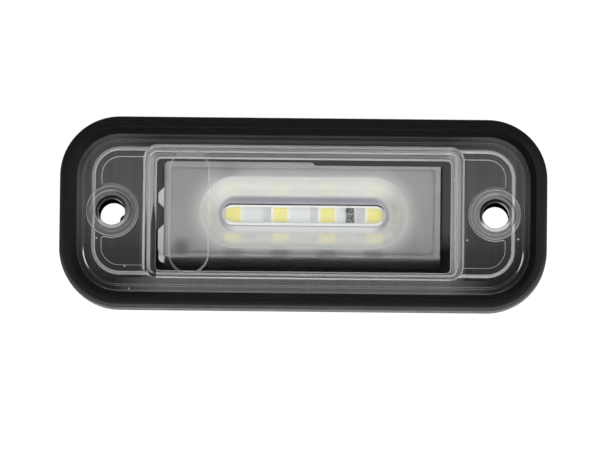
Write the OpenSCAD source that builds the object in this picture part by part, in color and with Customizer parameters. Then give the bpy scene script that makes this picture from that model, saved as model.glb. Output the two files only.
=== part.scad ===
// Number plate lamp: a clear lens with two screw bosses, a black moulded housing behind it, a rubber
// surround that grips both, and inside a reflector over a small board with four white light-emitting diodes.
// Millimetres. The lens looks along +Z, X is the long side and Z is 0 at the flat back of the housing.

/* [Outline] */
// Overall length of the surround
surround_w = 95; // [90:0.5:110]
// Overall height of the surround
surround_h = 37.4; // [36:0.1:44]
// Corner radius of the surround
surround_r = 11.7; // [9:0.1:14]
// Depth from the flat back to the seating plane of the surround
seat_z = 18; // [17:0.5:24]
// Thickness of the surround's lip behind the flange
under_lip = 1.4; // [0.8:0.1:2.5]
// How far the surround stands proud of the lens land
lens_recess = 2.5; // [1.2:0.1:4]
// Thickness of the surround beside the flange edge
web_w = 2.5; // [1.8:0.1:3]
// Width of the front band from its outer face to the lens
band_w = 3.2; // [3.1:0.1:3.6]
// Width of the higher, outer part of the front band
flat_w = 2.1; // [1.2:0.1:2.6]
// Height of the step between the two parts of the band
band_step = 0.35; // [0.2:0.05:0.8]
// Drop of the lower part, which slopes down towards the lens
band_slope = 1.3; // [0.5:0.1:1.6]
// Radius of the surround's outer front edge
edge_r = 0.8; // [0.3:0.1:1.1]
// Clearance between the lip and the housing
lip_gap = 0.1; // [0.05:0.05:0.5]
// Width of the sealing groove in the seating face
seal_groove_w = 0.8; // [0.4:0.1:1.4]
// Depth of the sealing groove in the seating face
seal_groove_d = 0.4; // [0.2:0.1:0.6]

/* [Screw bosses] */
// Distance of the screw holes from the ends of the surround
screw_in = 10; // [9.8:0.1:12]
// Height of the screws, the ridge and the window above the outline's centre
pattern_y = 0.4; // [-1:0.1:1]
// Radius of the screw holes
screw_r = 2.6; // [1.8:0.1:3]
// Radius of the counterbore for the screw head
counterbore_r = 4.05; // [3.5:0.05:4.4]
// Depth of the counterbore below the lens land
counterbore_d = 1.8; // [1:0.1:2.6]
// Width of the funnel at the foot of the counterbore
funnel_w = 0.7; // [0.2:0.1:0.8]
// Depth of the funnel
funnel_d = 0.6; // [0.3:0.1:1]
// Outer radius of the lens boss
boss_r = 4.9; // [4.6:0.1:5.2]
// Height of the boss rim above the lens land
boss_rise = 0.2; // [0.1:0.05:0.8]
// Length of the boss sleeve behind the lens plate
sleeve_len = 2.5; // [1.5:0.1:4]
// Clearance round the boss sleeve
sleeve_gap = 0.1; // [0.05:0.05:0.2]
// Wall of the cup that takes the sleeve, and its floor
cup_wall = 1.1; // [0.8:0.1:1.4]
// Outer radius of the screw tubes
tube_r = 4.6; // [3.8:0.1:5.5]
// Length of the screw tubes behind the sleeves
tube_len = 10.3; // [5:0.1:13]

/* [Lens] */
// Thickness of the lens plate
lens_t = 2; // [1.6:0.1:3]
// Inset of the raised ridge from the lens edge
ridge_in = 3.75; // [3.2:0.05:4.6]
// Radius of the ridge's half-round section
ridge_r = 0.3; // [0.2:0.05:0.5]
// Inset of the end pockets from the lens edge
pocket_in = 5.6; // [5:0.05:6.4]
// Gap between the lens boss and the pocket that curls round it
pocket_gap = 0.35; // [0.2:0.05:0.8]
// Depth of the end pockets
pocket_d = 0.5; // [0.2:0.1:1]
// Radius of the pocket's tips beside the boss
pocket_tip_r = 0.5; // [0.3:0.05:0.7]
// Inset of the step line from the lens edge
rim_step_in = 1; // [0.8:0.1:1.4]
// Inset of the fine groove from the lens edge
rim_groove_in = 1.9; // [1.6:0.1:2.4]
// Width of the fine groove
rim_groove_w = 0.35; // [0.2:0.05:0.6]
// Depth of the step line and of the fine groove
rim_d = 0.25; // [0.1:0.05:0.5]

/* [Window] */
// Distance of the window frame from the screw holes
frame_off = 6.2; // [6:0.05:8]
// Distance of the window frame from the long edges of the lens
frame_side = 3.2; // [2.8:0.1:4]
// Outer corner radius of the window frame
frame_r = 2.7; // [2:0.1:4]
// Wall of the window frame at the top and at both ends
frame_wall = 2.5; // [2.1:0.05:2.8]
// Wall of the window frame at the bottom
sill = 1.3; // [1.2:0.1:2]
// Corner radius of the window opening
opening_r = 1; // [0.5:0.1:2]
// Height of the frame above the lens land
frame_rise = 0.5; // [0.35:0.05:1]
// Sink of the pane below the frame's top
pane_sink = 0.3; // [0.1:0.05:0.5]
// Distance of the fine line from the frame's outer edge
frame_line_in = 1.3; // [0.8:0.1:1.6]
// Width of the fine line
frame_line_w = 0.2; // [0.1:0.05:0.4]
// Length of the collar behind the frame, which centres the lens in the housing's box
collar_len = 1.5; // [1:0.1:4]
// Inset of the collar from the frame's outer edge
collar_in = 0.3; // [0.2:0.05:0.4]
// Clearance round the collar
collar_gap = 0.3; // [0.1:0.05:0.5]
// Width of the plain marking field at the left of the window
field_w = 7.8; // [4:0.1:9]
// Length of the marking field, which reaches over both long bars of the frame
field_h = 24.4; // [22:0.1:25]
// Distance of the marking field from the left edge of the opening
field_in = 2.6; // [1:0.1:6]
// Width of the raised line round the marking field
field_line_w = 0.2; // [0.15:0.05:0.4]
// Height of that line above the frame
field_line_rise = 0.1; // [0.05:0.05:0.3]

/* [Housing] */
// Wall thickness of the housing
wall = 1.5; // [1.2:0.1:1.7]
// Thickness of the housing flange
flange_t = 1.6; // [1.2:0.1:2.4]
// How far the rear stage stands back from the front stage
stage_in = 3.9; // [2.5:0.1:5]
// Corner radius of the rear stage
stage_r = 3; // [1.5:0.1:5]
// Thickness of the back wall
back_t = 1.6; // [1.2:0.1:2.5]
// Width of the ledge under the board
ledge_w = 1.5; // [1:0.1:2]
// Thickness of the ribs and gussets
rib_t = 1.2; // [0.8:0.1:2]
// Distance between the ribs under the step of the long sides
rib_pitch = 11; // [7:0.5:16]
// Reach of the gussets under the flange
gusset_reach = 7; // [4:0.1:9]
// Drop of the gussets
gusset_drop = 5; // [3:0.1:7]

/* [Plug socket] */
// Length of the socket's mouth
socket_w = 13; // [11:0.5:14]
// Height of the socket's mouth
socket_h = 9; // [8:0.5:10]
// Depth of the socket
socket_d = 9.4; // [9:0.1:11]
// Thickness of the wall between the socket and the board
ceiling_t = 1.6; // [1.2:0.1:2]
// Wall round the socket
socket_wall = 1.5; // [1:0.1:2]
// Width of the keying groove in the socket wall
key_w = 2.4; // [1.5:0.1:4]
// Depth of the keying groove
key_d = 0.7; // [0.4:0.1:0.9]
// Distance between the two contact blades
blade_pitch = 5; // [4:0.1:7]
// Width of a contact blade
blade_w = 2.8; // [2:0.1:4]
// Thickness of a contact blade
blade_t = 0.8; // [0.6:0.1:1]
// Free length of a blade in the socket
blade_len = 5.2; // [4:0.1:5.2]
// Width of the solder tail of a blade
tail_w = 1.4; // [1:0.1:1.8]
// Height of the solder tail above the board
tail_proud = 0.5; // [0.2:0.1:0.8]

/* [Vent] */
// Distance of the vent from the left end of the rear stage
vent_in = 16; // [10:0.5:22]
// Radius of the vent hole
vent_r = 0.8; // [0.5:0.1:1.2]
// Radius of the membrane over the vent
membrane_r = 4; // [3:0.1:6]
// Thickness of the membrane
membrane_t = 0.3; // [0.2:0.05:0.6]
// Sink of the membrane below the back
membrane_sink = 0.2; // [0.1:0.05:0.4]

/* [Reflector] */
// Gap between the ends of the reflector's face and the window opening
side_gap = 1.8; // [1.2:0.1:3]
// Gap between the top of the reflector's face and the opening
top_gap = 1.1; // [0.8:0.1:1.4]
// Gap between the bottom of the reflector's face and the opening
bottom_gap = 3.2; // [2.6:0.1:3.6]
// Shift of the reflector along X
face_x = -0.3; // [-0.5:0.1:0.5]
// Outward slope of the lower skirt over its height
skirt_slope = 1.4; // [0.2:0.1:1.5]
// Thickness of the reflector's walls
skin = 1.2; // [0.8:0.1:1.3]
// Gap between the reflector's face and the lens plate
face_gap = 1.5; // [0.6:0.1:3]
// Sink of the face inside its raised border
border_d = 0.5; // [0.2:0.1:0.8]
// Width of the border at the ends of the face
border_end = 1.1; // [0.6:0.1:1.6]
// Width of the border along the long sides
border_side = 0.5; // [0.4:0.1:1]
// Corner radius inside the border
border_r = 0.8; // [0.4:0.1:1.5]
// Reach of the long tab on top of the reflector
top_tab_reach = 0.6; // [0.3:0.1:0.7]
// Reach of the two tabs on its left end
end_tab_reach = 1.1; // [0.6:0.1:1.1]
// Reach of the long top tab past the middle
top_tab_over = 2.5; // [0:0.5:5]
// Height of the lower and of the upper tab on the left end
lower_tab_h = 5.9; // [3:0.1:6.5]
upper_tab_h = 4; // [2:0.1:5]
// Distance of the lower tab from the foot of the face
lower_tab_in = 0.2; // [0.1:0.1:1]
// Distance between the two tabs
tab_space = 3.3; // [1:0.1:3.5]
// Height of the bowl and of the diode row above the outline's centre
light_y = 0.6; // [0:0.1:0.9]
// Least distance of the bowl's rim from the top and the ends of the face
bowl_in = 2.1; // [1.7:0.1:2.5]
// Rim of floor between the bowl's foot and the ends of the slot
foot_end = 1.25; // [0.8:0.05:2]
// Rim of floor between the bowl's foot and the long sides of the slot
foot_side = 2; // [1.2:0.05:2.2]
// Reach of the slot beyond the outer phosphor windows
slot_end = 0.3; // [0.1:0.05:0.6]
// Height of the slot
slot_h = 3; // [2.6:0.1:3.2]
// Chamfer of the slot's edge
slot_chamfer = 0.45; // [0.2:0.05:0.6]
// Thickness of the bowl's floor
floor_t = 1; // [0.8:0.1:1.4]
// Gap between the bowl's floor and the diodes
slot_gap = 0.2; // [0.1:0.05:0.6]

/* [Board] */
// Thickness of the board
board_t = 1.2; // [0.8:0.1:1.6]
// Clearance between the board and the reflector's skirt
board_gap = 0.35; // [0.2:0.05:0.6]
// Corner radius of the board
board_r = 1; // [0.5:0.1:2]
// Distance between neighbouring diodes
led_pitch = 9.2; // [7:0.05:9.6]
// Length of a diode package
led_w = 3.6; // [3.3:0.1:4]
// Height of a diode package
led_h = 3.3; // [3.2:0.1:3.8]
// Thickness of a diode package
led_t = 0.8; // [0.7:0.05:1.2]
// Side of the phosphor window
phosphor_side = 2.8; // [2:0.1:2.9]
// Depth of the phosphor window
phosphor_d = 0.4; // [0.2:0.05:0.5]
// Width of the bare pads beside the diodes
pad_w = 1.5; // [0.8:0.1:2]
// Gap between a pad and its diode
pad_gap = 0.1; // [0.05:0.05:0.3]
// Thickness of the pads
pad_t = 0.08; // [0.04:0.01:0.15]
// Length and height of the resistor in the diode row
row_resistor_size = [1.6, 3.2];
// Thickness of that resistor
row_resistor_t = 0.6; // [0.4:0.05:0.8]

/* [Hidden] */
$fn = 64;
// Overlap that keeps a cut clear of the face it starts from
over = 0.5;
// Steps in the curve of the bowl's section
bowl_steps = 14;
// Clearance of small pieces in their seats
fit_gap = 0.15;
diode_count = 4;

flange_z = seat_z + under_lip;
plate_z = flange_z + flange_t;
land_z = plate_z + lens_t;
front_z = land_z + lens_recess;
frame_z = land_z + frame_rise;
pane_z = frame_z - pane_sink;
collar_z = plate_z - collar_len;
sleeve_z = plate_z - sleeve_len;
cup_z = sleeve_z - cup_wall;
tube_z = sleeve_z - tube_len;
counterbore_z = land_z - counterbore_d;
ledge_z = socket_d + ceiling_t;
stage_z = ledge_z - wall;

plate_w = surround_w - 2 * web_w;
plate_h = surround_h - 2 * web_w;
plate_r = surround_r - web_w;
screw_x = surround_w / 2 - screw_in;
cup_r = boss_r + sleeve_gap + cup_wall;

frame_w = 2 * (screw_x - frame_off);
frame_h = plate_h - 2 * frame_side;
opening_w = frame_w - 2 * frame_wall;
opening_h = frame_h - frame_wall - sill;
opening_y = pattern_y - (frame_wall - sill) / 2;
collar_w = frame_w - 2 * collar_in;
collar_h = frame_h - 2 * collar_in;
collar_r = frame_r - collar_in;
chamber_w = collar_w + 2 * collar_gap;
chamber_h = collar_h + 2 * collar_gap;
chamber_r = collar_r + collar_gap;
box_w = chamber_w + 2 * wall;
box_h = chamber_h + 2 * wall;
stage_w = box_w - 2 * stage_in;
stage_h = box_h - 2 * stage_in;
lip_w = min((surround_h - box_h) / 2 - pattern_y, screw_in - cup_r) - lip_gap;

face_w = opening_w - 2 * side_gap;
face_top = opening_y + opening_h / 2 - top_gap;
face_bottom = opening_y - opening_h / 2 + bottom_gap;
skirt_bottom = face_bottom - skirt_slope;
board_w = face_w - 2 * (skin + board_gap);
board_h = face_top - skirt_bottom - 2 * (skin + board_gap);
board_y = (face_top + skirt_bottom) / 2;
board_z = ledge_z + board_t;
hollow_w = board_w - 2 * ledge_w;
hollow_h = board_h - 2 * ledge_w;

led_z = board_z + led_t;
slot_floor_z = led_z + slot_gap;
foot_z = slot_floor_z + floor_t;
face_z = plate_z - face_gap;
floor_z = face_z - border_d;
slot_w = (diode_count - 1) * led_pitch + phosphor_side + 2 * slot_end;
foot_w = slot_w + 2 * foot_end;
foot_h = slot_h + 2 * foot_side;
// Run of the bowl's slope: the rim keeps its distance from the top and from the ends of the face
bowl_run = min(face_top - light_y - foot_h / 2, (face_w - foot_w) / 2) - bowl_in;
led_xs = [for (i = [0 : diode_count - 1]) (i - (diode_count - 1) / 2) * led_pitch];

socket_x = face_x + hollow_w / 2 - socket_w / 2 - socket_wall;
socket_y = pattern_y + socket_h / 2 + socket_wall - stage_h / 2;
blade_tip_z = socket_d - blade_len;
tail_z = board_z + tail_proud;
vent_x = vent_in - stage_w / 2;

// Each chip behind the board: its length, height and thickness, the distance of its middle from the left
// end of the hollow, and its row: 1 is at the hollow's top side, -1 at its bottom side, 0 in the middle
CHIPS = [
    ["driver_chip", [4.9, 3.9, 1.5], 2.8, 0],
    ["polarity_diode", [4.3, 2.6, 2], 7.7, 1],
    ["surge_diode", [4.3, 2.6, 2], 7.7, -1],
    ["input_capacitor", [3.2, 2.5, 1.6], 11.8, 1],
    ["ballast_resistor", [3.2, 1.6, 0.6], 11.8, -1],
    ["output_capacitor", [2, 1.2, 1], 14.7, 1],
    ["bias_resistor", [2, 1.2, 0.5], 14.7, -1]
];
// Gap between the chips and the hollow's long sides
chip_gap = 0.3;

// A flat rectangle with round corners, centred
module rounded_rect(w, h, r) {
    square([w - 2 * r, h], center = true);
    square([w, h - 2 * r], center = true);
    for (x = [-1, 1], y = [-1, 1])
        translate([x * (w / 2 - r), y * (h / 2 - r)]) circle(r = r);
}

// A flat stadium, centred
module stadium(w, h) {
    square([w - h, h], center = true);
    for (x = [-1, 1]) translate([x * (w - h) / 2, 0]) circle(d = h);
}

// A rounded block from one level to another
module rounded_block(w, h, r, z0, z1) {
    translate([0, 0, z0]) linear_extrude(z1 - z0) rounded_rect(w, h, r);
}

// A rounded ring: the outer outline less the same outline moved in by a wall
module rounded_ring(w, h, r, ring_w, z0, z1) {
    difference() {
        rounded_block(w, h, r, z0, z1);
        rounded_block(w - 2 * ring_w, h - 2 * ring_w, r - ring_w, z0 - over, z1 + over);
    }
}

// A solid stadium whose side has this profile, a list of points [distance from the middle line, level]
module stadium_turned(straight, profile) {
    last = len(profile) - 1;
    half = concat([[0, profile[0][1]]], profile, [[0, profile[last][1]]]);
    translate([-straight / 2, 0, 0]) rotate([90, 0, 90]) linear_extrude(straight)
        polygon(concat(profile, [for (i = [last : -1 : 0]) [-profile[i][0], profile[i][1]]]));
    for (turn = [0, 180]) rotate(turn) translate([straight / 2, 0, 0]) rotate(-90)
        rotate_extrude(angle = 180) polygon(half);
}

// A stadium whose sides slope evenly outwards from its foot, by a run that is the same all round
module stadium_bowl(foot_length, foot_width, run, z0, z1) {
    stadium_turned(foot_length - foot_width, [[foot_width / 2, z0], [foot_width / 2 + run, z1]]);
}

// Sweeps a section round a rounded rectangle. The section's x is its distance from the corner's centre.
module swept_ring(w, h, r) {
    long = w - 2 * r;
    short = h - 2 * r;
    for (turn = [0, 180]) rotate(turn) {
        translate([long / 2, short / 2, 0]) rotate_extrude(angle = 90) children();
        translate([-long / 2, short / 2, 0]) rotate(90) rotate_extrude(angle = 90) children();
        translate([-long / 2, short / 2, 0]) rotate([90, 0, 90]) linear_extrude(long) children();
        rotate(90) translate([-short / 2, long / 2, 0]) rotate([90, 0, 90]) linear_extrude(short) children();
    }
}

// Puts its children at both screw holes
module at_screws() {
    for (x = [-1, 1]) translate([x * screw_x, pattern_y, 0]) children();
}

// A thin triangular web that stands up from a wall: its long edge runs from the wall's foot to the reach
module gusset(reach, drop) {
    rotate([90, 0, 0]) linear_extrude(rib_t, center = true)
        polygon([[-over, -drop], [0, -drop], [reach, 0], [reach, over], [-over, over]]);
}

// Section of the surround from its outer face inwards: a body beside the flange, a front band with a
// step, and a lip behind the flange
module surround_section() {
    bend_z = front_z - edge_r;
    rim_z = land_z - rim_d;
    step_z = front_z - band_step;
    translate([surround_r, 0]) mirror([1, 0]) difference() {
        union() {
            translate([0, seat_z]) square([web_w, bend_z - seat_z]);
            translate([edge_r, bend_z]) circle(r = edge_r);
            translate([edge_r, seat_z]) square([flat_w - edge_r, front_z - seat_z]);
            polygon([
                [edge_r, rim_z], [band_w, rim_z], [band_w, step_z - band_slope], [flat_w, step_z],
                [edge_r, step_z]
            ]);
            translate([0, seat_z]) square([lip_w, under_lip]);
        }
        translate([(lip_w - seal_groove_w) / 2, seat_z - over]) square([seal_groove_w, over + seal_groove_d]);
    }
}

module surround() {
    color([0.07, 0.07, 0.07]) swept_ring(surround_w, surround_h, surround_r) surround_section();
}

// Outline of one end pocket: it stops under the window frame and curls round the screw boss
module pocket_outline() {
    w = plate_w - 2 * pocket_in;
    h = plate_h - 2 * pocket_in;
    offset(r = pocket_tip_r) offset(delta = -pocket_tip_r) difference() {
        intersection() {
            rounded_rect(w, h, plate_r - pocket_in);
            translate([frame_w / 2 - 2 * pocket_tip_r, -h / 2]) square([w / 2, h]);
        }
        translate([screw_x, 0]) circle(r = boss_r + pocket_gap);
    }
}

// The flat plate of the lens with its rim lines and the two end pockets
module lens_plate() {
    groove_w = plate_w - 2 * rim_groove_in;
    groove_h = plate_h - 2 * rim_groove_in;
    difference() {
        rounded_block(plate_w, plate_h, plate_r, plate_z, land_z);
        rounded_ring(
            plate_w + 2 * over, plate_h + 2 * over, plate_r + over, rim_step_in + over,
            land_z - rim_d, land_z + over
        );
        rounded_ring(
            groove_w, groove_h, plate_r - rim_groove_in, rim_groove_w, land_z - rim_d, land_z + over
        );
        for (turn = [0, 1]) mirror([turn, 0, 0]) translate([0, pattern_y, land_z - pocket_d])
            linear_extrude(pocket_d + over, convexity = 4) pocket_outline();
    }
}

// The half-round ridge that runs round the face and stops at the screw bosses
module lens_ridge() {
    ridge_corner_r = plate_r - ridge_in;
    translate([0, pattern_y, 0]) difference() {
        swept_ring(plate_w - 2 * ridge_in, plate_h - 2 * ridge_in, ridge_corner_r)
            translate([ridge_corner_r - ridge_r, land_z]) intersection() {
                circle(r = ridge_r, $fn = 24);
                translate([-ridge_r, -ridge_r / 2]) square(2 * ridge_r);
            }
        for (x = [-1, 1]) translate([x * screw_x, 0, plate_z]) cylinder(h = lens_t + over, r = boss_r);
    }
}

// The raised frame round the window, the pane inside it, the collar behind it and the marking field
module lens_window() {
    line_w = frame_w - 2 * frame_line_in;
    line_h = frame_h - frame_line_in - sill / 2;
    difference() {
        translate([0, pattern_y, 0]) {
            rounded_block(frame_w, frame_h, frame_r, plate_z, frame_z);
            rounded_block(collar_w, collar_h, collar_r, collar_z, plate_z);
        }
        translate([0, opening_y, 0]) {
            rounded_block(opening_w, opening_h, opening_r, pane_z, frame_z + over);
            rounded_block(opening_w, opening_h, opening_r, collar_z - over, plate_z);
        }
        translate([0, pattern_y + (sill / 2 - frame_line_in) / 2, 0])
            rounded_ring(line_w, line_h, frame_r - frame_line_in, frame_line_w, land_z, frame_z + over);
    }
    translate([field_in + field_w / 2 - opening_w / 2, pattern_y, pane_z]) rotate(90)
        linear_extrude(frame_z + field_line_rise - pane_z) difference() {
            stadium(field_h, field_w);
            stadium(field_h - 2 * field_line_w, field_w - 2 * field_line_w);
        }
}

module lens() {
    color([0.75, 0.8, 0.82, 0.5]) difference() {
        union() {
            lens_plate();
            lens_ridge();
            lens_window();
            at_screws() translate([0, 0, sleeve_z]) cylinder(h = land_z + boss_rise - sleeve_z, r = boss_r);
        }
        at_screws() {
            translate([0, 0, counterbore_z])
                cylinder(h = counterbore_d + boss_rise + over, r = counterbore_r);
            translate([0, 0, counterbore_z - funnel_d])
                cylinder(h = funnel_d, r1 = screw_r, r2 = screw_r + funnel_w);
            translate([0, 0, sleeve_z - over]) cylinder(h = counterbore_z - sleeve_z, r = screw_r);
        }
    }
}

// The stepped box of the housing with its flange, screw tubes, ribs and gussets, before it is hollowed
module housing_body() {
    rib_count = floor((stage_w - 2 * stage_r - rib_t) / rib_pitch) + 1;
    gusset_y = box_h / 2 - chamber_r - wall - rib_t;
    rounded_block(plate_w, plate_h, plate_r, flange_z, plate_z);
    translate([0, pattern_y, 0]) {
        rounded_block(box_w, box_h, chamber_r + wall, stage_z, plate_z);
        rounded_block(stage_w, stage_h, stage_r, 0, stage_z + over);
    }
    at_screws() {
        translate([0, 0, tube_z]) cylinder(h = plate_z - tube_z, r = tube_r);
        translate([0, 0, cup_z]) cylinder(h = plate_z - cup_z, r = cup_r);
    }
    translate([0, pattern_y, 0]) for (side = [0, 180]) rotate(side) {
        for (y = [-1, 1]) {
            translate([box_w / 2, y * gusset_y, flange_z]) gusset(gusset_reach, gusset_drop);
            translate([stage_w / 2, y * (stage_h / 2 - stage_r - rib_t), stage_z])
                gusset(stage_in - over, stage_z / 2);
        }
        for (i = [0 : rib_count - 1])
            translate([(i - (rib_count - 1) / 2) * rib_pitch, stage_h / 2, stage_z]) rotate(90)
                gusset(stage_in - over, stage_z / 2);
    }
}

// Hole for one contact blade or its tail, along Z
module blade_hole(at, w, z0, z1, gap) {
    translate([socket_x + at * blade_pitch / 2, socket_y, (z0 + z1) / 2])
        cube([blade_t + 2 * gap, w + 2 * gap, z1 - z0], center = true);
}

// The plug socket in the back: a mouth with a keying groove, and the two blade slots in its ceiling
module socket_space() {
    translate([socket_x, socket_y, 0]) {
        rounded_block(socket_w, socket_h, wall / 2, -over, socket_d);
        translate([0, socket_h / 2, (socket_d - over) / 2])
            cube([key_w, 2 * key_d, socket_d + over], center = true);
    }
    for (at = [-1, 1]) blade_hole(at, tail_w, socket_d - over, ledge_z + over, 0);
}

module housing() {
    color([0.1, 0.1, 0.1]) {
        difference() {
            housing_body();
            translate([0, pattern_y, 0])
                rounded_block(chamber_w, chamber_h, chamber_r, ledge_z, plate_z + over);
            difference() {
                translate([face_x, board_y, 0])
                    rounded_block(hollow_w, hollow_h, wall, back_t, ledge_z + over);
                translate([socket_x, socket_y, ledge_z / 2])
                    cube([socket_w + 2 * socket_wall, socket_h + 2 * socket_wall, ledge_z], center = true);
            }
            socket_space();
            at_screws() {
                translate([0, 0, tube_z - over]) cylinder(h = tube_len + 2 * over, r = screw_r);
                translate([0, 0, sleeve_z]) cylinder(h = sleeve_len + over, r = boss_r + sleeve_gap);
            }
            translate([vent_x, pattern_y, -over]) {
                cylinder(h = membrane_sink + membrane_t + over, r = membrane_r + fit_gap);
                cylinder(h = back_t + 2 * over, r = vent_r);
            }
        }
    }
}

// The reflector's outer block, less an inset: its lower skirt slopes outwards towards the board
module reflector_block(inset, z0, z1) {
    translate([face_x - face_w / 2 + inset, 0, 0]) rotate([90, 0, 90]) linear_extrude(face_w - 2 * inset)
        polygon([
            [skirt_bottom + inset, z0], [face_top - inset, z0],
            [face_top - inset, z1], [face_bottom + inset, z1]
        ]);
}

// One tab on the reflector's edge with sloping ends: it starts at the origin and runs along Y
module tab(length, reach) {
    linear_extrude(face_z - ledge_z - skin)
        polygon([
            [-over, 0], [0, 0], [reach, reach], [reach, length - reach], [0, length], [-over, length]
        ]);
}

// The tabs by which the reflector is gripped and put in: one long tab on top and two on the left end
module reflector_tabs() {
    lower_y = face_bottom + lower_tab_in;
    upper_y = lower_y + lower_tab_h + tab_space;
    translate([face_x + top_tab_over, face_top, ledge_z + skin]) rotate(90)
        tab(face_w / 2 + top_tab_over, top_tab_reach);
    for (at = [[lower_y, lower_tab_h], [upper_y, upper_tab_h]])
        translate([face_x - face_w / 2, at[0], ledge_z + skin]) mirror([1, 0, 0])
            tab(at[1], end_tab_reach);
}

module reflector() {
    border_w = face_w - 2 * border_end;
    border_h = face_top - face_bottom - 2 * border_side;
    straight = foot_w - foot_h;
    curve = [
        for (i = [0 : bowl_steps]) [
            foot_h / 2 + bowl_run * i / bowl_steps,
            foot_z + (floor_z - foot_z) * (1 - cos(180 * i / bowl_steps)) / 2
        ]
    ];
    color([0.82, 0.83, 0.84]) difference() {
        union() {
            difference() {
                reflector_block(0, ledge_z, face_z);
                reflector_block(skin, ledge_z - over, floor_z - skin);
            }
            translate([0, light_y, 0])
                stadium_bowl(foot_w + 2 * skin, foot_h + 2 * skin, bowl_run, slot_floor_z, floor_z);
            reflector_tabs();
        }
        translate([face_x, (face_top + face_bottom) / 2, 0])
            rounded_block(border_w, border_h, border_r, floor_z, face_z + over);
        translate([0, light_y, 0]) {
            stadium_turned(straight, concat(curve, [[foot_h / 2 + bowl_run, floor_z + over]]));
            translate([0, 0, slot_floor_z - over]) linear_extrude(floor_t + 2 * over) stadium(slot_w, slot_h);
            stadium_bowl(slot_w, slot_h, slot_chamfer, foot_z - slot_chamfer, foot_z);
        }
    }
}

module circuit_board() {
    color([0.88, 0.9, 0.9]) difference() {
        union() {
            translate([face_x, board_y, 0]) rounded_block(board_w, board_h, board_r, ledge_z, board_z);
            for (i = [1 : diode_count - 1])
                translate([led_xs[i] - led_w / 2 - pad_gap - pad_w, light_y - led_h / 2, board_z - over])
                    cube([pad_w, led_h, over + pad_t]);
        }
        for (at = [-1, 1]) blade_hole(at, tail_w, ledge_z - over, board_z + over, fit_gap);
    }
}

// One diode package with the cup that holds its phosphor
module led(i) {
    color([0.95, 0.95, 0.92]) translate([led_xs[i], light_y, board_z]) difference() {
        translate([-led_w / 2, -led_h / 2, 0]) cube([led_w, led_h, led_t]);
        translate([-phosphor_side / 2, -phosphor_side / 2, led_t - phosphor_d])
            cube([phosphor_side, phosphor_side, phosphor_d + over]);
    }
}

// The yellow silicone that fills one package
module phosphor(i) {
    color([0.93, 0.86, 0.5]) translate([led_xs[i], light_y, led_z - phosphor_d / 2])
        cube([phosphor_side, phosphor_side, phosphor_d], center = true);
}

// The chip resistor between the last two diodes, lying across the row
module row_resistor() {
    size = row_resistor_size;
    color([0.25, 0.25, 0.25]) translate([led_xs[3] - led_pitch / 2 - size[0] / 10, light_y, board_z])
        translate([-size[0] / 2, -size[1] / 2, 0]) cube([size[0], size[1], row_resistor_t]);
}

// One chip of the list, under the board
module chip(name, tint) {
    row = CHIPS[search([name], CHIPS)[0]];
    size = row[1];
    row_y = hollow_h / 2 - chip_gap - size[1] / 2;
    color(tint) translate([face_x - hollow_w / 2 + row[2], board_y + row[3] * row_y, ledge_z - size[2] / 2])
        cube(size, center = true);
}

// A contact blade: a wide tip in the socket, and a narrow tail through the ceiling and the board
module blade(at) {
    color([0.75, 0.72, 0.6]) {
        blade_hole(at, blade_w, blade_tip_z, socket_d, 0);
        blade_hole(at, tail_w, socket_d - over, tail_z, 0);
    }
}

module vent_membrane() {
    color([0.9, 0.9, 0.9]) translate([vent_x, pattern_y, membrane_sink])
        cylinder(h = membrane_t, r = membrane_r);
}

surround();
lens();
housing();
reflector();
circuit_board();
led(0);  // led_1
led(1);  // led_2
led(2);  // led_3
led(3);  // led_4
phosphor(0);  // phosphor_1
phosphor(1);  // phosphor_2
phosphor(2);  // phosphor_3
phosphor(3);  // phosphor_4
row_resistor();
chip("bias_resistor", [0.15, 0.15, 0.15]);  // bias_resistor
chip("ballast_resistor", [0.15, 0.15, 0.15]);  // ballast_resistor
chip("driver_chip", [0.12, 0.12, 0.12]);  // driver_chip
chip("polarity_diode", [0.12, 0.12, 0.12]);  // polarity_diode
chip("surge_diode", [0.12, 0.12, 0.12]);  // surge_diode
chip("input_capacitor", [0.6, 0.45, 0.3]);  // input_capacitor
chip("output_capacitor", [0.6, 0.45, 0.3]);  // output_capacitor
blade(-1);  // supply_blade
blade(1);  // ground_blade
vent_membrane();
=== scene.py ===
"""A number plate lamp: clear lens, black housing, rubber surround, and a reflector over four white diodes.

It lies on the flat back of its housing, lens up. Everything is in metres, in the frame of the solids.
"""

import math

import bmesh
import bpy
from mathutils import Matrix, Vector


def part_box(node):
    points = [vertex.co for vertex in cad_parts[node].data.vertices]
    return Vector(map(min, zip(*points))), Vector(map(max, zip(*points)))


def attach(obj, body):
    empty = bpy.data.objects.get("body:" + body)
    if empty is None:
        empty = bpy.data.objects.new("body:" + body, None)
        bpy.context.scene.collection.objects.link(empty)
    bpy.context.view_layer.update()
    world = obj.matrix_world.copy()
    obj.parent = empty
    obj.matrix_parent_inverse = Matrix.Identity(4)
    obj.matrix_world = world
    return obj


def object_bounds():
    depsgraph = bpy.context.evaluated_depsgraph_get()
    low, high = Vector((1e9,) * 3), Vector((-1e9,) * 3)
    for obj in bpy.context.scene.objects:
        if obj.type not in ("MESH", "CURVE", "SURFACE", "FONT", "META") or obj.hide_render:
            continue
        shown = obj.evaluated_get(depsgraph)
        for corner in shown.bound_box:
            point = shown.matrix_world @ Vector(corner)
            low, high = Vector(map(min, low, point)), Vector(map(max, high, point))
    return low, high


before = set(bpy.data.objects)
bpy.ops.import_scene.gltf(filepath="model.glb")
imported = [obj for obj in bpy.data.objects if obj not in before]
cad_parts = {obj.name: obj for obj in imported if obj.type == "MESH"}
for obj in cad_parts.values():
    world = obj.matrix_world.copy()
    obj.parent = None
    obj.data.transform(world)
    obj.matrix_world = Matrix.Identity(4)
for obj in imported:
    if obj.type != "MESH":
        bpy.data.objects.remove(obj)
solid_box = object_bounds()
mm = 0.001

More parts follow.
